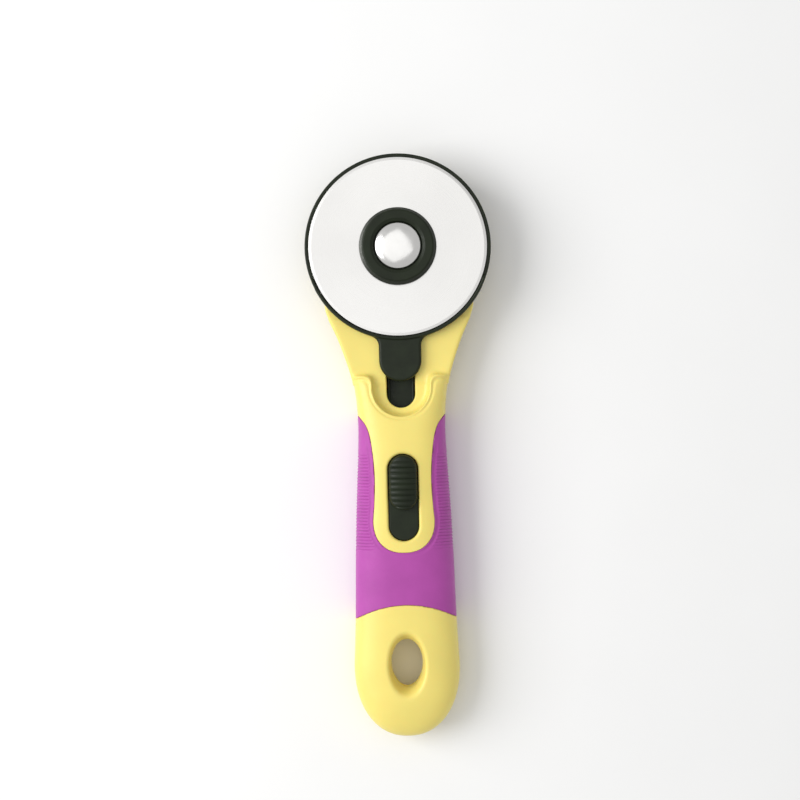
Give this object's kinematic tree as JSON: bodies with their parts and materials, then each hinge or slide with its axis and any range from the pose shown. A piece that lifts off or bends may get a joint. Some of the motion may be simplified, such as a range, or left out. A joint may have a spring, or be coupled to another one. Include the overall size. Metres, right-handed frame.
{
  "type": "rotary cutter",
  "caption": "Hand-held rotary cutter with a round steel blade on a pivot bolt, a sliding disc guard moved by a thumb button, a contoured two-part handle with soft grips and a hang hole.",
  "frame": {"origin": "centre of the overall box on the plane the back rests on, so the cutter lies on its back on z = 0", "axes": "+X to the right seen from the blade side, +Y along the handle towards the blade, +Z out of the blade's face"},
  "size_m": [0.0626, 0.1973, 0.022],
  "materials": {
    "yellow_plastic": "moulded, satin gloss",
    "violet_grip": "soft overmould, fine matte with moulded ribs",
    "black_plastic": "moulded, fine spark texture",
    "blade_steel": "bright rolled face with a ground edge",
    "bolt_chrome": "mirror plated dome",
    "zinc_steel": "zinc plated",
    "spring_steel": "cold rolled spring strip",
    "insert_brass": "turned"
  },
  "bodies": {
    "handle": {"front_shell": "yellow_plastic", "rear_shell": "yellow_plastic", "front_grip": "violet_grip", "rear_grip": "violet_grip", "case_screw_1": "zinc_steel", "case_screw_2": "zinc_steel", "case_screw_3": "zinc_steel", "case_screw_4": "zinc_steel", "detent_spring": "spring_steel", "slider_track": "black_plastic", "bolt_collar": "black_plastic", "pivot_bolt": "bolt_chrome", "wave_washer": "spring_steel"},
    "guard": {"blade_guard": "black_plastic", "slide_bar": "black_plastic", "thumb_button": "black_plastic", "guard_screw_1": "zinc_steel", "guard_screw_2": "zinc_steel"},
    "cutting_blade": {"blade": "blade_steel"},
    "washer": {"flat_washer": "zinc_steel"},
    "nut": {"tension_nut": "black_plastic", "nut_insert": "insert_brass"}
  },
  "joints": [
    {"name": "guard_slide", "type": "slide", "parent": "handle", "child": "guard", "axis": [0, -1, 0], "range_m": [0, 0.009], "deforming": ["detent_spring"]},
    {"name": "blade_spin", "type": "hinge", "parent": "handle", "child": "cutting_blade", "pos_m": [0, 0.06735, 0.01715], "axis": [0, 0, 1], "continuous": true},
    {"name": "nut_travel", "type": "slide", "parent": "handle", "child": "washer", "axis": [0, 0, -1], "range_m": [0, 0.002]},
    {"name": "nut_turn", "type": "hinge", "parent": "washer", "child": "nut", "pos_m": [0, 0.06735, 0.0057], "axis": [0, 0, -1], "range_deg": [0, 720]}
  ],
  "couplings": [
    {"joint": "nut_travel", "follows": "nut_turn", "m_per_rad": 0.000159}
  ]
}
